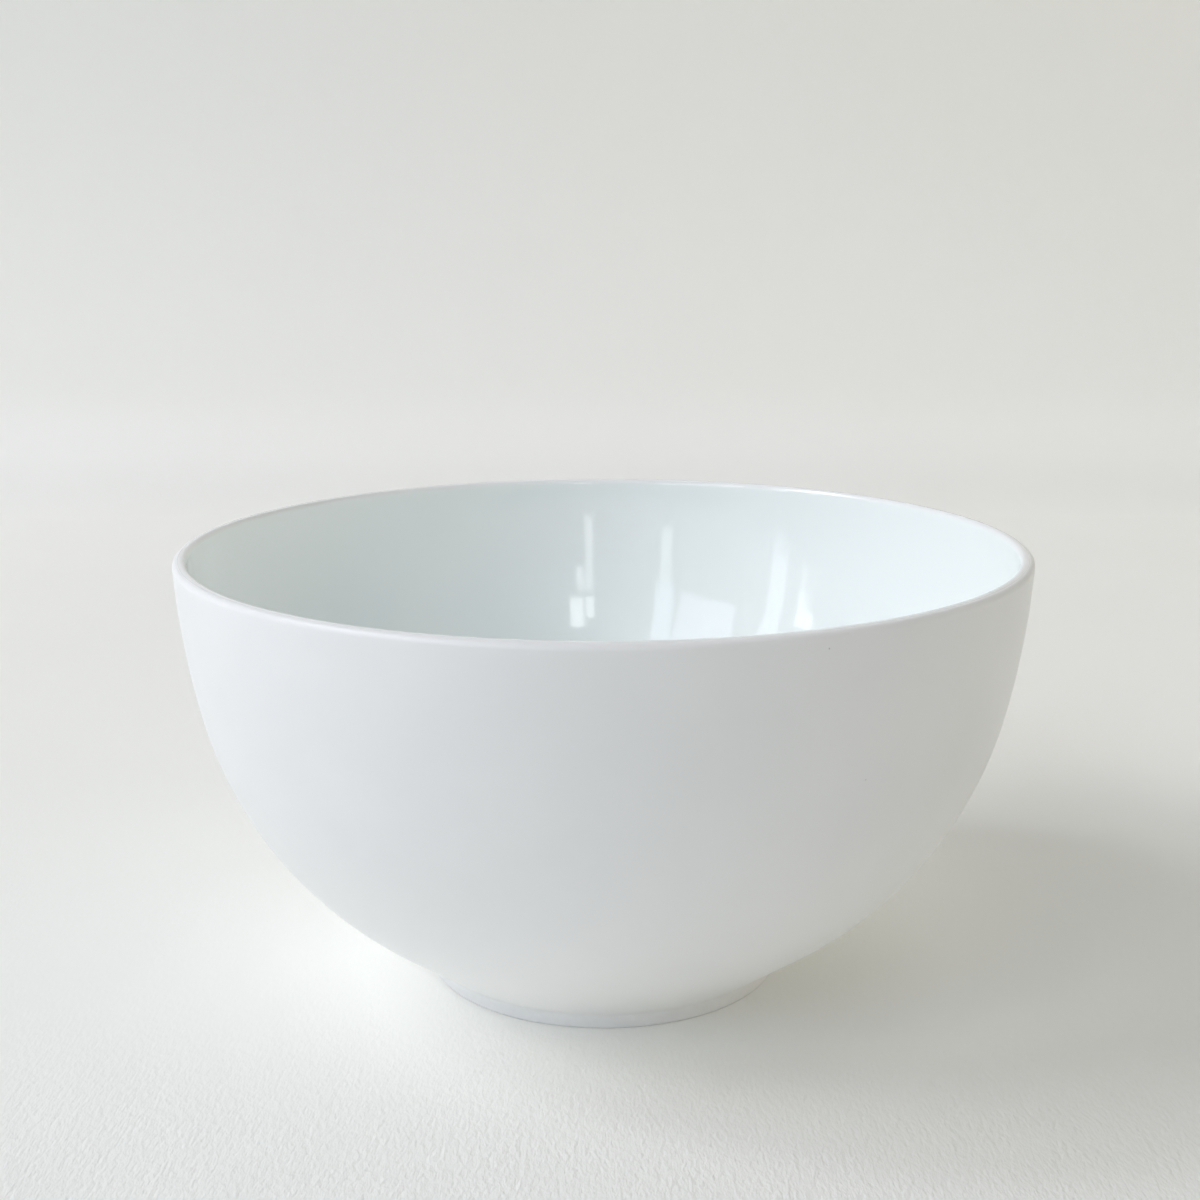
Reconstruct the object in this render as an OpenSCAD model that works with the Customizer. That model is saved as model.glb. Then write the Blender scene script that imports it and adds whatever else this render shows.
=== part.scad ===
// Latte bowl: a handleless porcelain bowl, matte outside and glazed inside, on a low foot ring.
// Millimetres, +Z up. The origin is on the table, under the middle of the foot.
// Each piece is a turned form, so its module draws half a section: x is the radius and y the height.

/* [Overall] */
// Widest diameter, over the lip.
rim_d = 140; // [120:1:160]
// Height from the table to the glazed crest of the lip.
bowl_h = 73.5; // [64:0.5:84]

/* [Wall] */
// Thickness of the fired wall, from the lip down to the belly.
wall_t = 2; // [1.6:0.1:4]
// Lean of the wall from plumb at the lip, in degrees.
lip_lean = 2.8; // [1:0.1:6]
// Lean from plumb where the upper wall turns into the belly, in degrees.
belly_lean = 13.4; // [10:0.1:20]
// Radius of the upper wall's outer curve.
upper_r = 131; // [100:1:180]
// Length of the straight flank that carries the belly down to the foot's cove.
flank_l = 13.6; // [6:0.2:20]
// Thickness of the floor over the foot.
floor_t = 4.6; // [3:0.1:6]

/* [Foot] */
// Outer diameter of the foot ring.
foot_d = 59.4; // [48:0.2:72]
// Height of the foot ring, from the table to its seat under the floor.
foot_h = 1.6; // [1.2:0.1:4]
// Width of the foot ring at the table, edge rounds included.
foot_w = 4; // [2.6:0.1:7]
// Slope of the ring's inner side from plumb, in degrees.
foot_draft = 8; // [0:1:20]
// Round on the two edges that meet the table.
foot_edge_r = 0.4; // [0.2:0.1:0.8]
// Radius of the cove between the flank and the foot's side.
cove_r = 1.5; // [0.8:0.1:4]

/* [Glaze] */
// Thickness of the fired glaze.
glaze_t = 0.25; // [0.2:0.05:0.6]
// How far the glaze runs past the crest on to the lip's outer shoulder, in degrees.
glaze_over = 12; // [6:1:60]

/* [Hidden] */
$fn = 128;
// How far a curve runs past the tangent curve that it meets, so that the two cross cleanly.
lap = 0.002;
rim_r = rim_d / 2;
foot_r = foot_d / 2;

// The lip is a full round on the wall's own thickness.
lip_r = wall_t / 2;
lip_x = rim_r - lip_r;
lip_z = bowl_h - glaze_t - lip_r;

// The upper wall's curve passes the lip at its lean, and the belly takes over at its own.
upper_x = lip_x - (upper_r - lip_r) * cos(lip_lean);
upper_z = lip_z + (upper_r - lip_r) * sin(lip_lean);
turn_x = upper_x + upper_r * cos(belly_lean);
turn_z = upper_z - upper_r * sin(belly_lean);

// The cove leaves the foot's side plumb, level with the seat.
cove_x = foot_r + cove_r;
cove_z = foot_h;

// The belly's outer curve is tangent to the upper wall at the turn and to the flank, which is tangent to the cove.
drop_x = cove_x - turn_x;
drop_z = cove_z - turn_z;
drop_out = drop_x * cos(belly_lean) - drop_z * sin(belly_lean);
drop_sq = drop_x * drop_x + drop_z * drop_z;
belly_r = (drop_sq - cove_r * cove_r - flank_l * flank_l) / (2 * (cove_r - drop_out));
belly_x = turn_x - belly_r * cos(belly_lean);
belly_z = turn_z + belly_r * sin(belly_lean);

// The flank's lean from plumb, and its upper and lower ends.
flank_lean = atan2(belly_z - cove_z, cove_x - belly_x) - atan(flank_l / (belly_r + cove_r));
flank_x = belly_x + belly_r * cos(flank_lean);
flank_z = belly_z - belly_r * sin(flank_lean);
touch_x = cove_x - cove_r * cos(flank_lean);
touch_z = cove_z + cove_r * sin(flank_lean);

// The belly's inner curve starts at the same turn and lies level where it meets the floor.
floor_z = foot_h + floor_t;
inner_turn_x = turn_x - wall_t * cos(belly_lean);
inner_turn_z = turn_z + wall_t * sin(belly_lean);
inner_r = (inner_turn_z - floor_z) / (1 - sin(belly_lean));
inner_x = inner_turn_x - inner_r * cos(belly_lean);
inner_z = floor_z + inner_r;

// The upper wall's curve as a filled form, moved in from the outside, from a given height up to the lip.
module upper_form(inset, low) {
    intersection() {
        translate([upper_x, upper_z]) circle(upper_r - inset);
        translate([0, low]) square([rim_r, bowl_h]);
        translate([lip_x, lip_z]) rotate(-lip_lean) translate([-rim_d, -rim_d]) square([2 * rim_d, rim_d]);
    }
}

// The hollow of the bowl, less a coat of the given thickness.
module hollow(coat) {
    upper_form(wall_t + coat, inner_turn_z + coat * sin(belly_lean));
    intersection() {
        union() {
            translate([inner_x, inner_z]) circle(inner_r - coat + lap);
            if (inner_x > 0) translate([0, floor_z + coat]) square([inner_x, inner_r]);
        }
        square([rim_r, inner_turn_z + wall_t]);
    }
}

// The outside of the bowl as a filled form: upper wall, belly, flank and the cove that leads down to the foot.
module outer_form() {
    upper_form(0, turn_z);
    intersection() {
        translate([belly_x, belly_z]) circle(belly_r + lap);
        translate([0, foot_h]) square([rim_r, turn_z + wall_t - foot_h]);
    }
    difference() {
        polygon([[0, foot_h], [cove_x, foot_h], [touch_x, touch_z], [flank_x, flank_z], [0, flank_z]]);
        translate([cove_x, cove_z]) circle(cove_r + lap);
    }
}

// The section of the shell: lip, upper wall, belly and floor in one.
module shell_section() {
    translate([lip_x, lip_z]) circle(lip_r + lap);
    difference() {
        outer_form();
        hollow(0);
    }
}

// The bowl's wall and floor.
module bowl_body() {
    color([0.93, 0.93, 0.92])
    rotate_extrude() shell_section();
}

// The ring that the bowl stands on, with its two table edges rounded and its inner side sloped.
module foot_ring() {
    inner_foot_r = foot_r - foot_w;
    run = foot_edge_r / tan((90 + foot_draft) / 2);
    color([0.88, 0.88, 0.86])
    rotate_extrude() {
        translate([inner_foot_r + run, foot_edge_r + lap]) circle(foot_edge_r + lap);
        translate([foot_r - foot_edge_r, foot_edge_r]) circle(foot_edge_r);
        polygon([
            [inner_foot_r + run, 0],
            [foot_r - foot_edge_r, 0],
            [foot_r, foot_edge_r],
            [foot_r, foot_h],
            [inner_foot_r - foot_h * tan(foot_draft), foot_h],
            [inner_foot_r - run * sin(foot_draft), run * cos(foot_draft)]
        ]);
    }
}

// The coat of glaze over the floor, up the inside and over the lip to its outer shoulder.
module glaze_lining() {
    reach = wall_t + glaze_t;
    color([0.80, 0.88, 0.88])
    rotate_extrude()
    difference() {
        union() {
            translate([lip_x, lip_z]) circle(lip_r + glaze_t + lap);
            difference() {
                hollow(0);
                hollow(glaze_t);
            }
        }
        shell_section();
        translate([lip_x, lip_z]) rotate(-glaze_over) translate([0, -reach]) square([reach, 2 * reach]);
    }
}

bowl_body();
foot_ring();
glaze_lining();
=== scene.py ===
"""A latte bowl of white porcelain, matte outside and glazed inside, on a pale floor in soft daylight.

Lengths are metres, and angles are radians unless a docstring says degrees. +Z is up, and the bowl's axis is
the Z axis. Each piece of the bowl is a half section, a row of radius and height, that is carried once round
that axis.
"""

import logging
import math
from dataclasses import dataclass, field
from enum import Enum

import bpy
import numpy as np
from mathutils import Matrix, Vector


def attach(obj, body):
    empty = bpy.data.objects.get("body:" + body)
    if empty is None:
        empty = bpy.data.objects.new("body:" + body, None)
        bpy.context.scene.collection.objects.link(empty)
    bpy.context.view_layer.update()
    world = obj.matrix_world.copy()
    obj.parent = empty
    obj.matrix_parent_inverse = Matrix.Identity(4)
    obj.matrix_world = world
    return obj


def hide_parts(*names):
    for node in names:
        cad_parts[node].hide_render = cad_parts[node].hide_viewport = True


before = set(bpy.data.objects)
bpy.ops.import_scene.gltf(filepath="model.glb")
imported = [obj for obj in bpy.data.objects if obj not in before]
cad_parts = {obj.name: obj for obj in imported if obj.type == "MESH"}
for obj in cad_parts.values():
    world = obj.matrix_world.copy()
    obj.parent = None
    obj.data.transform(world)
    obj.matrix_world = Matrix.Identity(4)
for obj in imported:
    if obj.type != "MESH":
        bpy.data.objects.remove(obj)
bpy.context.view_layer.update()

Colour = tuple[float, float, float]
Point = tuple[float, float, float]
Pair = np.ndarray | tuple[float, float]
Socket = bpy.types.NodeSocket

LOG = logging.getLogger("latte_bowl")
BODY = "root"
STEPS_ROUND = 240
SHARP_EDGE = math.radians(35.0)
SAME_POINT = 1e-7
FLOOR_POINTS = 8

# Noise seldom leaves this middle part of its range from 0 to 1.
NOISE_LOW, NOISE_HIGH = 0.3, 0.7

# The colour sockets of a mix node, which share their names with its other sockets.
MIX_FIRST, MIX_SECOND, MIX_RESULT = 6, 7, 2


class Section(Enum):
    """How the two ends of a half section close when it is carried round the axis."""

    AXIS = "both ends lie on the axis, and each closes in a pole"
    LOOP = "the section closes on itself, and makes a ring"


@dataclass(frozen=True)
class Arc:
    """A circle in the half section: the radius and height of its centre, and its own radius."""

    x: float
    z: float
    r: float

    def at(self, angle: float) -> np.ndarray:
        """The point of the circle at an angle that is counted from outwards towards up."""
        return np.array([self.x + self.r * math.cos(angle), self.z + self.r * math.sin(angle)])

    def run(self, start: float, end: float, count: int) -> np.ndarray:
        """Points of the circle at even angles.

        Args:
            start: first angle, counted from outwards towards up.
            end: last angle.
            count: number of points.

        Returns:
            Array of count rows, each centre + r * (cos angle, sin angle).
        """
        angle = np.linspace(start, end, count)
        return np.stack([self.x + self.r * np.cos(angle), self.z + self.r * np.sin(angle)], axis=1)


def straight(start: Pair, end: Pair, count: int) -> np.ndarray:
    """Points at even steps on a straight line.

    Args:
        start: first point, as radius and height.
        end: last point.
        count: number of points.

    Returns:
        Array of count rows, start + t * (end - start) for t from 0 to 1.
    """
    t = np.linspace(0.0, 1.0, count)[:, None]
    return np.asarray(start) + t * (np.asarray(end) - np.asarray(start))


def join(*runs: np.ndarray) -> np.ndarray:
    """Runs of section points laid end to end, with repeated points left out.

    Args:
        runs: arrays of radius and height.

    Returns:
        One array of radius and height.
    """
    points = np.concatenate(runs)
    step = np.linalg.norm(np.diff(points, axis=0), axis=1)
    return points[np.concatenate([[True], step > SAME_POINT])]


def carry_round(section: np.ndarray, ends: Section) -> tuple[np.ndarray, np.ndarray, np.ndarray]:
    """Carries a half section round the axis.

    The point at place v on the section, with radius r(v) and height z(v), goes to (r cos u, r sin u, z) for
    every angle u. With the solid on the section's left, the faces point outwards.

    Args:
        section: array of radius and height.
        ends: how the section's ends close.

    Returns:
        The points, the four-sided faces and the three-sided faces, as arrays.
    """
    angle = np.arange(STEPS_ROUND) * (2.0 * math.pi / STEPS_ROUND)
    rings = section[1:-1] if ends is Section.AXIS else section
    radius = rings[:, :1]
    height = np.broadcast_to(rings[:, 1:], (len(rings), STEPS_ROUND))
    grid = np.stack([radius * np.cos(angle), radius * np.sin(angle), height], axis=2)
    points = grid.reshape(-1, 3)
    row = np.arange(len(rings) if ends is Section.LOOP else len(rings) - 1)[:, None] * STEPS_ROUND
    here = np.arange(STEPS_ROUND)
    there = np.roll(here, -1)
    above = (row + STEPS_ROUND) % len(points)
    quads = np.stack([row + here, row + there, above + there, above + here], axis=2).reshape(-1, 4)
    if ends is Section.LOOP:
        return points, quads, np.zeros((0, 3), int)
    first, last = len(points), len(points) + 1
    top = (len(rings) - 1) * STEPS_ROUND
    poles = np.array([[0.0, 0.0, section[0, 1]], [0.0, 0.0, section[-1, 1]]])
    fan_first = np.stack([np.full(STEPS_ROUND, first), there, here], axis=1)
    fan_last = np.stack([np.full(STEPS_ROUND, last), top + here, top + there], axis=1)
    return np.concatenate([points, poles]), quads, np.concatenate([fan_first, fan_last])


def make_object(name: str, points: np.ndarray, quads: np.ndarray, fans: np.ndarray) -> bpy.types.Object:
    """Puts arrays of points and faces into a new, smooth-shaded object at the origin.

    Args:
        name: name of the object and its mesh.
        points: array of places.
        quads: array of four-sided faces.
        fans: array of three-sided faces.

    Returns:
        The object, linked to the scene.
    """
    corners = np.concatenate([quads.ravel(), fans.ravel()]).astype(np.int32)
    sides = np.concatenate([np.full(len(quads), 4), np.full(len(fans), 3)])
    starts = np.concatenate([[0], np.cumsum(sides)[:-1]]).astype(np.int32)
    mesh = bpy.data.meshes.new(name)
    mesh.vertices.add(len(points))
    mesh.vertices.foreach_set("co", points.astype(np.float32).ravel())
    mesh.loops.add(len(corners))
    mesh.loops.foreach_set("vertex_index", corners)
    mesh.polygons.add(len(sides))
    mesh.polygons.foreach_set("loop_start", starts)
    mesh.update(calc_edges=True)
    mesh.validate()
    mesh.shade_smooth()
    mesh.set_sharp_from_angle(angle=SHARP_EDGE)
    piece = bpy.data.objects.new(name, mesh)
    bpy.context.scene.collection.objects.link(piece)
    return piece


class NodeBoard:
    """A material's node tree, with short calls for the nodes that the finishes share."""

    def __init__(self, name: str) -> None:
        """Starts a material that has one principled surface.

        Args:
            name: name of the material.
        """
        self.material = bpy.data.materials.new(name)
        self.material.use_nodes = True
        self.tree = self.material.node_tree
        self.surface = self.tree.nodes["Principled BSDF"]
        self.place = self.add("ShaderNodeTexCoord").outputs["Object"]

    def add(self, kind: str) -> bpy.types.ShaderNode:
        """A new node of the given kind."""
        return self.tree.nodes.new(kind)

    def link(self, source: Socket, target: Socket) -> None:
        """Joins an output to an input."""
        self.tree.links.new(source, target)

    def noise(self, size: float, detail: float, roughness: float = 0.5, stretch: float = 1.0) -> Socket:
        """Cloudy noise in space.

        Args:
            size: length over which it changes, in metres.
            detail: number of finer layers.
            roughness: share of the finer layers.
            stretch: how many times longer it is along Y.

        Returns:
            The noise value, 0 to 1 about 0.5.
        """
        node = self.add("ShaderNodeTexNoise")
        node.inputs["Scale"].default_value = 1.0 / size
        node.inputs["Detail"].default_value = detail
        node.inputs["Roughness"].default_value = roughness
        drawn = self.add("ShaderNodeMapping")
        drawn.vector_type = "TEXTURE"
        drawn.inputs["Scale"].default_value = (1.0, stretch, 1.0)
        self.link(self.place, drawn.inputs["Vector"])
        self.link(drawn.outputs["Vector"], node.inputs["Vector"])
        return node.outputs["Fac"]

    def remap(self, value: Socket, low: float, high: float, to_low: float, to_high: float) -> Socket:
        """Maps a range on to another, smoothly and held at both ends.

        Args:
            value: what is mapped.
            low: where the first range starts.
            high: where the first range ends.
            to_low: result at low.
            to_high: result at high.

        Returns:
            The mapped value.
        """
        node = self.add("ShaderNodeMapRange")
        node.interpolation_type = "SMOOTHSTEP"
        for name, number in zip(("From Min", "From Max", "To Min", "To Max"), (low, high, to_low, to_high)):
            node.inputs[name].default_value = number
        self.link(value, node.inputs["Value"])
        return node.outputs["Result"]

    def spread(self, noise: Socket, to_low: float, to_high: float) -> Socket:
        """Noise spread over a range.

        Args:
            noise: the noise value.
            to_low: result where the noise is low.
            to_high: result where it is high.

        Returns:
            The spread value.
        """
        return self.remap(noise, NOISE_LOW, NOISE_HIGH, to_low, to_high)

    def combine(self, kind: str, first: Socket, second: Socket) -> Socket:
        """Two values made into one.

        Args:
            kind: the operation, such as ADD or MULTIPLY.
            first: first value.
            second: second value.

        Returns:
            The result.
        """
        node = self.add("ShaderNodeMath")
        node.operation = kind
        self.link(first, node.inputs[0])
        self.link(second, node.inputs[1])
        return node.outputs["Value"]

    def mix(self, share: Socket, first: Socket | Colour, second: Socket | Colour) -> Socket:
        """Mixes two colours.

        Args:
            share: share of the second colour.
            first: first colour, or what gives it.
            second: second colour, or what gives it.

        Returns:
            The mixed colour.
        """
        node = self.add("ShaderNodeMix")
        node.data_type = "RGBA"
        self.link(share, node.inputs["Factor"])
        for place, colour in ((MIX_FIRST, first), (MIX_SECOND, second)):
            if isinstance(colour, tuple):
                node.inputs[place].default_value = (*colour, 1.0)
            else:
                self.link(colour, node.inputs[place])
        return node.outputs[MIX_RESULT]

    def axis(self, name: str) -> Socket:
        """The place along one axis.

        Args:
            name: X, Y or Z; Z is the height above the table.

        Returns:
            The place, in metres.
        """
        node = self.add("ShaderNodeSeparateXYZ")
        self.link(self.place, node.inputs["Vector"])
        return node.outputs[name]

    def specks(self, spacing: float, radius: float) -> Socket:
        """Sparse round specks, one in each cell of space, seen where the surface passes through one.

        A speck is solid to half its radius, and fades over the rest.

        Args:
            spacing: size of a cell, in metres.
            radius: radius of a speck.

        Returns:
            1 in a speck and 0 elsewhere.
        """
        node = self.add("ShaderNodeTexVoronoi")
        node.inputs["Scale"].default_value = 1.0 / spacing
        self.link(self.place, node.inputs["Vector"])
        share = radius / spacing
        return self.remap(node.outputs["Distance"], share / 2, share, 1.0, 0.0)

    def bump(self, value: Socket, depth: float, below: Socket | None = None) -> Socket:
        """A relief on the surface.

        Args:
            value: height of the relief.
            depth: what a height of 1 measures, in metres; below 0 it is sunk.
            below: a relief that this one lies on.

        Returns:
            The surface direction.
        """
        node = self.add("ShaderNodeBump")
        node.invert = depth < 0.0
        node.inputs["Distance"].default_value = abs(depth)
        self.link(value, node.inputs["Height"])
        if below is not None:
            self.link(below, node.inputs["Normal"])
        return node.outputs["Normal"]


@dataclass(frozen=True)
class BisqueFinish:
    """Matte, smooth, unglazed porcelain with faint clouds, a fine grain and specks, painted whiter low down
    as painted light, and greyed at the table by wear and painted shade.
    """

    name: str
    # Painted light: this colour whitens the lower belly, for light that the floor throws up on it.
    low_tone: Colour = (0.935, 0.942, 0.940)
    high_tone: Colour = (0.868, 0.880, 0.884)
    speck: Colour = (0.60, 0.60, 0.59)
    # Rubbed wear at the table edge, and painted shade of the cove and foot under the belly's overhang.
    wear_and_shade: Colour = (0.825, 0.825, 0.832)
    painted_light_full_height: float = 0.008
    painted_light_end_height: float = 0.050
    detail: float = 3.0
    cloud_size: float = 0.018
    cloud_low: float = 0.35
    cloud_high: float = 0.65
    cloud_share: float = 0.2
    grain_size: float = 0.00045
    grain_roughness: float = 0.6
    grain_depth: float = 0.000006
    speck_spacing: float = 0.0085
    speck_radius: float = 0.00016
    gloss_low: float = 0.36
    gloss_high: float = 0.44
    wear_and_shade_height: float = 0.0045
    wear_and_shade_size: float = 0.0012
    wear_and_shade_least: float = 0.8

    def make(self) -> bpy.types.Material:
        """Builds the material.

        Returns:
            The material, whiter low down with painted light, and greyer towards the table with rubbed wear
            and painted shade.
        """
        board = NodeBoard(self.name)
        height = board.axis("Z")
        grain = board.noise(self.grain_size, self.detail, self.grain_roughness)
        clouds = board.noise(self.cloud_size, self.detail)
        cloud = board.remap(clouds, self.cloud_low, self.cloud_high, 0.0, self.cloud_share)
        # Painted light: the body is painted whiter low down, fading out by the upper wall.
        rise = board.remap(height, self.painted_light_full_height, self.painted_light_end_height, 0.0, 1.0 - self.cloud_share)
        colour = board.mix(board.combine("ADD", rise, cloud), self.low_tone, self.high_tone)
        colour = board.mix(board.specks(self.speck_spacing, self.speck_radius), colour, self.speck)
        # Rubbed wear and painted shade: the body greys towards the table, raggedly.
        ragged = board.spread(board.noise(self.wear_and_shade_size, self.detail), self.wear_and_shade_least, 1.0)
        worn_and_shaded = board.remap(height, 0.0, self.wear_and_shade_height, 1.0, 0.0)
        colour = board.mix(board.combine("MULTIPLY", worn_and_shaded, ragged), colour, self.wear_and_shade)
        board.link(colour, board.surface.inputs["Base Color"])
        board.link(board.spread(grain, self.gloss_low, self.gloss_high), board.surface.inputs["Roughness"])
        board.link(board.bump(grain, self.grain_depth), board.surface.inputs["Normal"])
        return board.material


@dataclass(frozen=True)
class GlazeFinish:
    """Glossy, faintly wavy glaze: cooler where it lies thick in the well, whiter where it thins at the lip.

    The swell is the slope by which the coat's face leaves the wall behind it.
    """

    name: str
    low_tone: Colour = (0.890, 0.952, 0.948)
    high_tone: Colour = (0.925, 0.964, 0.962)
    crest: Colour = (0.905, 0.915, 0.922)
    well_height: float = 0.012
    wall_height: float = 0.066
    lip_height: float = 0.0722
    crest_height: float = 0.0733
    cloud_size: float = 0.014
    cloud_detail: float = 3.0
    cloud_share: float = 0.15
    wave_size: float = 0.007
    wave_detail: float = 1.0
    wave_depth: float = 0.000022
    swell: float = math.tan(math.radians(1.5))
    gloss_low: float = 0.035
    gloss_high: float = 0.065

    def make(self) -> bpy.types.Material:
        """Builds the material.

        Returns:
            The material.
        """
        board = NodeBoard(self.name)
        height = board.axis("Z")
        cloud = board.noise(self.cloud_size, self.cloud_detail)
        rise = board.remap(height, self.well_height, self.wall_height, 0.0, 1.0 - self.cloud_share)
        thinness = board.combine("ADD", rise, board.spread(cloud, 0.0, self.cloud_share))
        colour = board.mix(thinness, self.low_tone, self.high_tone)
        at_crest = board.remap(height, self.lip_height, self.crest_height, 0.0, 1.0)
        colour = board.mix(at_crest, colour, self.crest)
        board.link(colour, board.surface.inputs["Base Color"])
        board.link(board.spread(cloud, self.gloss_low, self.gloss_high), board.surface.inputs["Roughness"])
        swelling = board.bump(height, -self.swell)
        waves = board.bump(board.noise(self.wave_size, self.wave_detail), self.wave_depth, swelling)
        board.link(waves, board.surface.inputs["Normal"])
        return board.material


@dataclass(frozen=True)
class PlasterFinish:
    """White board with a fine troweled grain in front, a tone that changes from floor to wall, and painted
    shade that darkens the wall upwards, more on the left.
    """

    name: str
    light: Colour = (0.914, 0.917, 0.888)
    shade: Colour = (0.904, 0.907, 0.878)
    wall: Colour = (0.985, 0.985, 0.958)
    # Painted shade: the colours at the top of the wall, on the left and on the right.
    painted_shade_left: Colour = (0.872, 0.876, 0.845)
    painted_shade_right: Colour = (0.905, 0.897, 0.852)
    seam_height: float = 0.004
    low_height: float = 0.035
    painted_shade_height: float = 0.25
    painted_shade_reach: float = 0.30
    detail: float = 2.0
    cloud_size: float = 0.12
    grain_size: float = 0.0008
    grain_roughness: float = 0.55
    grain_stretch: float = 2.6
    grain_depth: float = 0.00030
    grain_front: float = -0.08
    grain_back: float = -0.005
    grain_least: float = 0.2
    gloss: float = 0.75

    def make(self) -> bpy.types.Material:
        """Builds the material.

        Returns:
            The material.
        """
        board = NodeBoard(self.name)
        cloud = board.noise(self.cloud_size, self.detail)
        near = board.remap(board.axis("Y"), self.grain_front, self.grain_back, 1.0, self.grain_least)
        ridges = board.noise(self.grain_size, self.detail, self.grain_roughness, self.grain_stretch)
        grain = board.combine("MULTIPLY", ridges, near)
        colour = board.mix(board.spread(cloud, 0.0, 1.0), self.light, self.shade)
        # Painted shade: the upper wall is painted darker, more on the window's left side.
        side = board.remap(board.axis("X"), -self.painted_shade_reach, self.painted_shade_reach, 0.0, 1.0)
        high = board.mix(side, self.painted_shade_left, self.painted_shade_right)
        height = board.axis("Z")
        on_wall = board.remap(height, self.seam_height, self.low_height, 0.0, 1.0)
        colour = board.mix(on_wall, colour, self.wall)
        # Painted shade darkens the wall from the low height up to the high one.
        colour = board.mix(board.remap(height, self.low_height, self.painted_shade_height, 0.0, 1.0), colour, high)
        board.link(colour, board.surface.inputs["Base Color"])
        board.surface.inputs["Roughness"].default_value = self.gloss
        board.link(board.bump(grain, self.grain_depth), board.surface.inputs["Normal"])
        return board.material


@dataclass(frozen=True)
class BowlSizes:
    """The bowl's driving sizes and the circles that its half section is drawn from."""

    rim_d: float = 0.140
    bowl_h: float = 0.0735
    wall_t: float = 0.002
    lip_lean: float = math.radians(2.8)
    belly_lean: float = math.radians(13.4)
    upper_r: float = 0.131
    floor_t: float = 0.0046
    flank_l: float = 0.0136
    foot_d: float = 0.0594
    foot_h: float = 0.0016
    foot_w: float = 0.004
    foot_draft: float = math.radians(8.0)
    foot_edge_r: float = 0.0004
    cove_r: float = 0.0015
    glaze_t: float = 0.00025
    glaze_over: float = math.radians(12.0)

    @property
    def floor_z(self) -> float:
        """Height of the porcelain floor inside the bowl."""
        return self.foot_h + self.floor_t

    @property
    def lip(self) -> Arc:
        """The full round on the wall's thickness."""
        r = self.wall_t / 2
        return Arc(self.rim_d / 2 - r, self.bowl_h - self.glaze_t - r, r)

    def upper(self, inset: float) -> Arc:
        """The upper wall's curve, whose centre lies inwards from the lip's centre, at the lip's lean.

        Args:
            inset: how far the curve is moved in from the outside.

        Returns:
            The circle.
        """
        reach = self.upper_r - self.lip.r
        x = self.lip.x - reach * math.cos(self.lip_lean)
        z = self.lip.z + reach * math.sin(self.lip_lean)
        return Arc(x, z, self.upper_r - inset)

    @property
    def cove(self) -> Arc:
        """The cove that carries the flank down into the foot."""
        return Arc(self.foot_d / 2 + self.cove_r, self.foot_h, self.cove_r)

    @property
    def belly(self) -> Arc:
        """The belly's outer curve, tangent to the upper wall at the turn and to the flank over the cove.

        With d from the turn to the cove's centre and n the wall's outward direction at the turn, its radius
        is (d squared - cove radius squared - flank length squared) / (2 * (cove radius - d . n)).

        Returns:
            The circle.
        """
        turn = self.upper(0.0).at(-self.belly_lean)
        drop = np.array([self.cove.x, self.cove.z]) - turn
        out = np.array([math.cos(self.belly_lean), -math.sin(self.belly_lean)])
        r = float((drop @ drop - self.cove_r**2 - self.flank_l**2) / (2.0 * (self.cove_r - drop @ out)))
        return Arc(float(turn[0] - r * out[0]), float(turn[1] - r * out[1]), r)

    def belly_inside(self, coat: float) -> Arc:
        """The belly's inner curve, level where it meets the floor.

        Its radius is the turn's height over the floor / (1 - sin of the belly's lean), less the coat.

        Args:
            coat: thickness of the coat on the porcelain.

        Returns:
            The circle.
        """
        turn = self.upper(self.wall_t).at(-self.belly_lean)
        r = float((turn[1] - self.floor_z) / (1.0 - math.sin(self.belly_lean)))
        x = float(turn[0] - r * math.cos(self.belly_lean))
        return Arc(x, self.floor_z + r, r - coat)

    @property
    def flank_lean(self) -> float:
        """Lean of the flank from plumb."""
        fall = math.atan2(self.belly.z - self.cove.z, self.cove.x - self.belly.x)
        return fall - math.atan(self.flank_l / (self.belly.r + self.cove_r))

    def inside(self, coat: float, count: int) -> np.ndarray:
        """The hollow's outline from the axis up to the lip, less a coat.

        Args:
            coat: thickness of the coat on the porcelain.
            count: number of points on the belly; the upper wall gets half as many.

        Returns:
            Array of radius and height: level floor, then the belly's circle, then the upper wall's.
        """
        belly = self.belly_inside(coat)
        level = self.floor_z + coat
        return join(
            straight((0.0, level), (belly.x, level), FLOOR_POINTS),
            belly.run(-math.pi / 2, -self.belly_lean, count),
            self.upper(self.wall_t + coat).run(-self.belly_lean, -self.lip_lean, count // 2),
        )


def mount_piece(piece: bpy.types.Object, material: bpy.types.Material, node: str, slot: str) -> None:
    """Dresses a piece and puts it on the bowl's body in place of a node.

    Args:
        piece: the object.
        material: its finish.
        node: the node that it stands for.
        slot: the record's material slot.
    """
    piece.data.materials.append(material)
    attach(piece, BODY)
    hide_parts(node)
    LOG.info("%s: %d faces, for %s in %s", piece.name, len(piece.data.polygons), node, slot)


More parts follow.
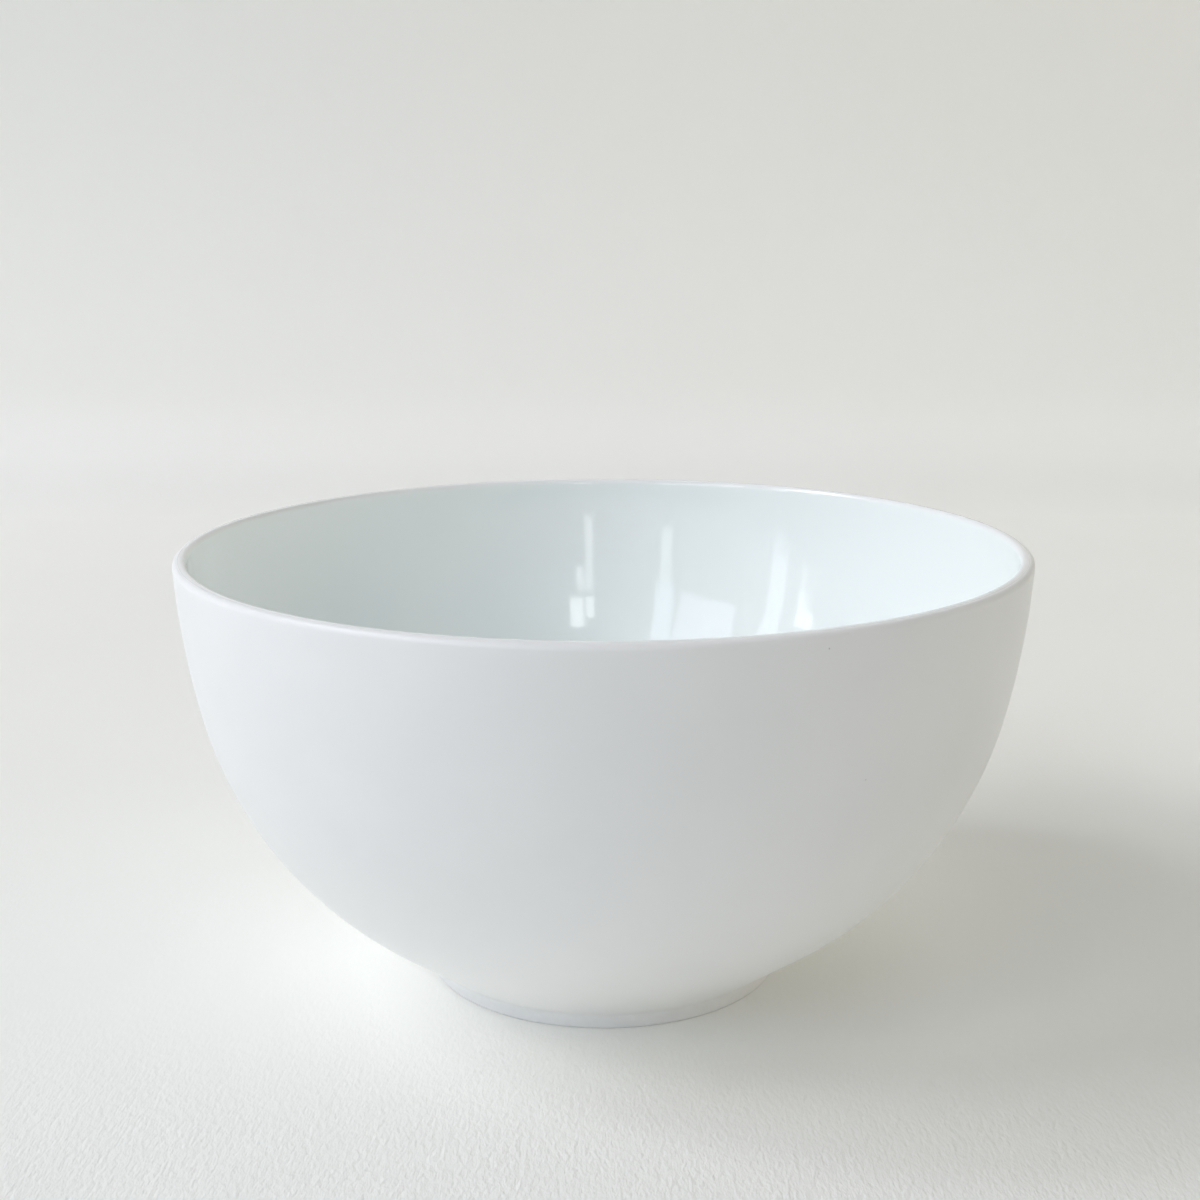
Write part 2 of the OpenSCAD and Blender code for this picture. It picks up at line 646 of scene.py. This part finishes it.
@dataclass
class PorcelainShell:
    """The bowl's wall and floor: lip, upper wall, belly, flank, cove and base in one turned form."""

    sizes: BowlSizes
    finish: BisqueFinish = field(default_factory=lambda: BisqueFinish("bisque"))
    base_points: int = 10
    cove_points: int = 12
    flank_points: int = 12
    belly_points: int = 48
    lip_points: int = 24

    def section(self) -> np.ndarray:
        """The half section, from under the base round the outside, over the lip and down to the floor.

        Returns:
            Array of radius and height.
        """
        s = self.sizes
        outside = join(
            straight((0.0, s.foot_h), (s.foot_d / 2, s.foot_h), self.base_points),
            s.cove.run(math.pi, math.pi - s.flank_lean, self.cove_points),
            straight(s.cove.at(math.pi - s.flank_lean), s.belly.at(-s.flank_lean), self.flank_points),
            s.belly.run(-s.flank_lean, -s.belly_lean, self.belly_points),
            s.upper(0.0).run(-s.belly_lean, -s.lip_lean, self.belly_points // 2),
            s.lip.run(-s.lip_lean, math.pi - s.lip_lean, self.lip_points),
        )
        return join(outside, s.inside(0.0, self.belly_points)[::-1])

    def build(self) -> bpy.types.Object:
        """Turns the section and dresses it in bisque.

        Returns:
            The shell's object.
        """
        piece = make_object("porcelain_shell", *carry_round(self.section(), Section.AXIS))
        mount_piece(piece, self.finish.make(), "bowl_body", "bisque")
        return piece


@dataclass
class FootRing:
    """The ring that the bowl stands on, with its two table edges rounded and its inner side sloped."""

    sizes: BowlSizes
    finish: BisqueFinish = field(default_factory=lambda: BisqueFinish("foot_bisque"))
    edge_points: int = 10
    side_points: int = 6
    seat_points: int = 4

    def section(self) -> np.ndarray:
        """The ring's closed half section, from its inner table edge outwards.

        Returns:
            Array of radius and height.
        """
        s = self.sizes
        outer, inner = s.foot_d / 2, s.foot_d / 2 - s.foot_w
        run = s.foot_edge_r / math.tan((math.pi / 2 + s.foot_draft) / 2)
        outer_edge = Arc(outer - s.foot_edge_r, s.foot_edge_r, s.foot_edge_r)
        inner_edge = Arc(inner + run, s.foot_edge_r, s.foot_edge_r)
        lean = math.pi + s.foot_draft
        seat_in = np.array([inner - s.foot_h * math.tan(s.foot_draft), s.foot_h])
        return join(
            inner_edge.run(lean, 1.5 * math.pi, self.edge_points),
            straight((inner_edge.x, 0.0), (outer_edge.x, 0.0), self.side_points),
            outer_edge.run(-math.pi / 2, 0.0, self.edge_points),
            straight((outer, s.foot_edge_r), (outer, s.foot_h), self.side_points),
            straight((outer, s.foot_h), seat_in, self.seat_points),
            straight(seat_in, inner_edge.at(lean), self.side_points)[:-1],
        )

    def build(self) -> bpy.types.Object:
        """Turns the ring and dresses it in bisque that greys towards the table with rubbed wear and painted
        shade.

        Returns:
            The ring's object.
        """
        piece = make_object("turned_foot", *carry_round(self.section(), Section.LOOP))
        mount_piece(piece, self.finish.make(), "foot_ring", "foot_bisque")
        return piece


@dataclass
class GlazeCoat:
    """The glaze over the floor, up the wall and over the lip's crest, where it thins away to nothing."""

    sizes: BowlSizes
    finish: GlazeFinish = field(default_factory=lambda: GlazeFinish("glaze"))
    belly_points: int = 56
    back_points: int = 16
    lip_points: int = 36
    crowding: float = 1.5
    feather: float = math.radians(60.0)

    def rolled_lip(self) -> np.ndarray:
        """The glaze's face over the lip, from its outer end back to the inside.

        The distance from the lip's centre is the lip's radius plus the coat's thickness times the square of
        sin a, where a goes from 0 at the end to a quarter turn over the feather. So the edge fades into the
        lip. The points crowd towards the end.

        Returns:
            Array of radius and height.
        """
        s = self.sizes
        end = math.pi / 2 - s.glaze_over
        t = np.linspace(0.0, 1.0, self.lip_points) ** self.crowding
        angle = end + t * (math.pi - s.lip_lean - end)
        share = np.sin(np.clip((angle - end) / self.feather, 0.0, 1.0) * (math.pi / 2)) ** 2
        reach = s.lip.r + s.glaze_t * share
        return np.stack([s.lip.x + reach * np.cos(angle), s.lip.z + reach * np.sin(angle)], axis=1)

    def section(self) -> np.ndarray:
        """The coat's half section: its back from the axis over the lip, then its face down to the axis.

        Returns:
            Array of radius and height.
        """
        s = self.sizes
        back = join(
            s.inside(0.0, self.belly_points // 2),
            s.lip.run(math.pi - s.lip_lean, math.pi / 2 - s.glaze_over, self.back_points),
        )
        return join(back, self.rolled_lip(), s.inside(s.glaze_t, self.belly_points)[::-1])

    def build(self) -> bpy.types.Object:
        """Turns the coat and dresses it in glaze.

        Returns:
            The coat's object.
        """
        piece = make_object("glaze_coat", *carry_round(self.section(), Section.AXIS))
        mount_piece(piece, self.finish.make(), "glaze_lining", "glaze")
        return piece


@dataclass(frozen=True)
class PhotoCamera:
    """The camera that the picture was taken with: where it stands, how it is turned, and its lens."""

    place: Point = (0.0, -0.2914, 0.1287)
    pitch: float = math.radians(12.638)
    yaw: float = math.radians(-0.111)
    roll: float = math.radians(-0.120)
    lens_mm: float = 53.4
    sensor_mm: float = 36.0
    nearest: float = 0.01

    def build(self) -> bpy.types.Object:
        """Makes the camera and gives it to the scene.

        Returns:
            The camera.
        """
        ahead = Vector(
            (
                math.sin(self.yaw) * math.cos(self.pitch),
                math.cos(self.yaw) * math.cos(self.pitch),
                -math.sin(self.pitch),
            )
        )
        right = Vector((math.cos(self.yaw), -math.sin(self.yaw), 0.0))
        up = right.cross(ahead)
        turned_right = math.cos(self.roll) * right + math.sin(self.roll) * up
        turned_up = math.cos(self.roll) * up - math.sin(self.roll) * right
        lens = bpy.data.cameras.new("photo_camera")
        lens.lens = self.lens_mm
        lens.sensor_width = self.sensor_mm
        lens.clip_start = self.nearest
        camera = bpy.data.objects.new("photo_camera", lens)
        turn = Matrix((turned_right, turned_up, -ahead)).transposed().to_4x4()
        camera.matrix_world = Matrix.Translation(self.place) @ turn
        bpy.context.scene.collection.objects.link(camera)
        bpy.context.scene.camera = camera
        LOG.info("camera: lens %.1f mm at %s", self.lens_mm, self.place)
        return camera


class LampRole(Enum):
    """What a lamp is for, which settles whether the glaze mirrors its shape."""

    WINDOW = "a window that lights the bowl and shows in the glaze"
    BOUNCE = "soft light that the room throws back"


@dataclass(frozen=True)
class WindowLamp:
    """A rectangular lamp, given by the angles in degrees between which the point that it faces sees it.

    Azimuth 0 is towards the camera, and azimuths above 0 are on the right of the picture. Most lamps face
    the bowl.
    """

    name: str
    role: LampRole
    azimuths: tuple[float, float]
    elevations: tuple[float, float]
    radiance: float
    colour: Colour = (1.0, 1.0, 1.0)
    distance: float = 1.5
    aim: Point = (0.0, 0.0, 0.05)

    def build(self) -> bpy.types.Object:
        """Hangs the lamp, facing its aim, with the power that gives its brightness over its face.

        Returns:
            The lamp.
        """
        azimuth = math.radians(sum(self.azimuths) / 2)
        elevation = math.radians(sum(self.elevations) / 2)
        wide = math.radians(self.azimuths[1] - self.azimuths[0]) * math.cos(elevation)
        tall = math.radians(self.elevations[1] - self.elevations[0])
        light = bpy.data.lights.new(self.name, "AREA")
        light.shape = "RECTANGLE"
        light.size = 2.0 * self.distance * math.tan(wide / 2)
        light.size_y = 2.0 * self.distance * math.tan(tall / 2)
        light.energy = self.radiance * math.pi * light.size * light.size_y
        light.color = self.colour
        ahead = Vector(
            (
                math.cos(elevation) * math.sin(azimuth),
                -math.cos(elevation) * math.cos(azimuth),
                math.sin(elevation),
            )
        )
        lamp = bpy.data.objects.new(self.name, light)
        lamp.location = Vector(self.aim) + self.distance * ahead
        lamp.rotation_euler = (-ahead).to_track_quat("-Z", "Y").to_euler()
        lamp.visible_glossy = self.role is LampRole.WINDOW
        bpy.context.scene.collection.objects.link(lamp)
        LOG.info("%s: %s", self.name, self.role.value)
        return lamp


@dataclass
class Studio:
    """The pale board that the bowl stands on, swept up behind it, and the light of the room."""

    wall_y: float = 0.49
    sweep_r: float = 0.05
    front_y: float = -1.6
    half_width: float = 2.2
    wall_top: float = 1.8
    room: Colour = (1.19, 1.08, 1.06)
    backdrop: Colour = (0.72, 0.72, 0.69)
    bounces: int = 12
    far: float = 2.4
    near: float = 0.5
    wall_aim: Point = (0.3, 0.49, 0.08)
    floor_points: int = 12
    bend_points: int = 24
    wall_points: int = 8
    across_points: int = 9
    finish: PlasterFinish = field(default_factory=lambda: PlasterFinish("plaster_board"))

    def sweep(self) -> bpy.types.Object:
        """The floor and wall as one sheet: a line, a quarter circle and a line, carried sideways.

        Returns:
            The sheet's object.
        """
        bend = Arc(self.wall_y - self.sweep_r, self.sweep_r, self.sweep_r)
        line = join(
            straight((self.front_y, 0.0), (bend.x, 0.0), self.floor_points),
            bend.run(-math.pi / 2, 0.0, self.bend_points),
            straight((self.wall_y, bend.z), (self.wall_y, self.wall_top), self.wall_points),
        )
        across = np.linspace(-self.half_width, self.half_width, self.across_points)
        grid = np.stack(np.broadcast_arrays(across, line[:, :1], line[:, 1:]), axis=2)
        width = self.across_points
        row = np.arange(len(line) - 1)[:, None] * width
        column = np.arange(width - 1)
        corner = row + column
        quads = np.stack([corner, corner + 1, corner + width + 1, corner + width], axis=2).reshape(-1, 4)
        sheet = make_object("board_sweep", grid.reshape(-1, 3), quads, np.zeros((0, 3), int))
        sheet.data.materials.append(self.finish.make())
        return sheet

    def lamps(self) -> list[WindowLamp]:
        """The windows on the left and in front, and the light that the room throws back.

        Returns:
            The lamps.
        """
        window, bounce = LampRole.WINDOW, LampRole.BOUNCE
        far, near, at_wall = self.far, self.near, self.wall_aim
        side, main_side, right = (-100.0, -88.0), (-88.0, -64.0), (70.0, 115.0)
        sash, head = (32.0, 44.0), (44.0, 56.0)
        return [
            WindowLamp("side_window", window, side, sash, 5.8, (0.84, 0.81, 1.0), far),
            WindowLamp("side_window_head", window, side, head, 13.25, (0.93, 0.96, 1.0), far),
            WindowLamp("main_window", window, main_side, sash, 10.6, (0.98, 0.97, 1.0), far),
            WindowLamp("main_window_head", window, main_side, head, 1.5, (0.90, 1.0, 0.99), far),
            WindowLamp("front_window", window, (-52.0, -40.0), sash, 4.66, (1.0, 0.93, 0.86), far),
            WindowLamp("end_pane", window, (-74.0, -67.5), (8.0, 17.0), 4.2, (0.90, 0.98, 1.0)),
            WindowLamp("slim_pane", window, (-62.3, -56.3), (3.0, 36.0), 2.8, (0.80, 0.90, 1.0)),
            WindowLamp("wide_pane", window, (-46.5, -25.4), (15.8, 40.0), 2.8, (0.78, 0.85, 1.0)),
            WindowLamp("tall_pane", window, (-24.2, -17.2), (14.5, 38.0), 3.6, (0.70, 0.85, 1.0)),
            WindowLamp("tall_pane_foot", window, (-22.4, -19.0), (6.5, 14.5), 2.5, (0.86, 1.0, 0.98)),
            WindowLamp("door_slit", window, (3.4, 6.0), (5.0, 16.2), 3.6, (0.93, 0.98, 1.0)),
            WindowLamp("door_pane", window, (6.6, 11.5), (17.2, 28.0), 6.0, (0.94, 0.98, 1.0)),
            WindowLamp("door_side", window, (3.3, 5.9), (17.2, 24.5), 5.8, (0.94, 0.98, 1.0)),
            WindowLamp("door_corner", window, (6.6, 9.0), (12.5, 16.2), 4.0, (0.94, 0.98, 1.0)),
            WindowLamp("front_bounce", bounce, (-40.0, -28.0), (32.0, 68.0), 1.46, (1.0, 0.95, 0.80), far),
            WindowLamp("near_bounce", bounce, (30.0, 70.0), (1.0, 12.0), 0.72, (1.0, 0.75, 0.40)),
            WindowLamp("low_bounce", bounce, right, (1.0, 12.0), 2.3, (0.97, 1.0, 0.88)),
            WindowLamp("right_bounce", bounce, right, (12.0, 30.0), 0.67, (1.0, 0.88, 0.80)),
            WindowLamp("mid_bounce", bounce, (30.0, 115.0), (30.0, 60.0), 0.21, (1.0, 0.89, 0.76)),
            WindowLamp("high_bounce", bounce, (60.0, 115.0), (60.0, 80.0), 1.2, (0.90, 0.96, 1.0)),
            WindowLamp(
                "wall_light", bounce, (-40.0, 40.0), (38.0, 78.0), 0.34, (1.0, 0.99, 0.90), near, at_wall
            ),
        ]

    def surroundings(self) -> bpy.types.World:
        """The room beyond the board, with one tone for the camera and one for the glaze to mirror.

        It lights nothing.

        Returns:
            The world.
        """
        world = bpy.data.worlds.new("room")
        world.use_nodes = True
        tree = world.node_tree
        background = tree.nodes["Background"]
        path = tree.nodes.new("ShaderNodeLightPath")
        tint = tree.nodes.new("ShaderNodeMix")
        tint.data_type = "RGBA"
        tint.inputs[MIX_FIRST].default_value = (*self.room, 1.0)
        tint.inputs[MIX_SECOND].default_value = (*self.backdrop, 1.0)
        seen = tree.nodes.new("ShaderNodeMath")
        seen.operation = "MAXIMUM"
        tree.links.new(path.outputs["Is Camera Ray"], tint.inputs["Factor"])
        tree.links.new(path.outputs["Is Camera Ray"], seen.inputs[0])
        tree.links.new(path.outputs["Is Glossy Ray"], seen.inputs[1])
        tree.links.new(tint.outputs[MIX_RESULT], background.inputs["Color"])
        tree.links.new(seen.outputs["Value"], background.inputs["Strength"])
        return world

    def build(self) -> None:
        """Lays the board, hangs the lamps and sets the room's light."""
        self.sweep()
        for lamp in self.lamps():
            lamp.build()
        bpy.context.scene.world = self.surroundings()
        bpy.context.scene.cycles.diffuse_bounces = self.bounces
        bpy.context.scene.view_settings.view_transform = "Standard"


def main() -> None:
    """Builds the camera, the bowl's pieces and the studio."""
    logging.basicConfig(level=logging.INFO, format="%(message)s")
    PhotoCamera().build()
    sizes = BowlSizes()
    for part in (PorcelainShell(sizes), FootRing(sizes), GlazeCoat(sizes)):
        part.build()
    Studio().build()


if __name__ == "__main__":
    main()
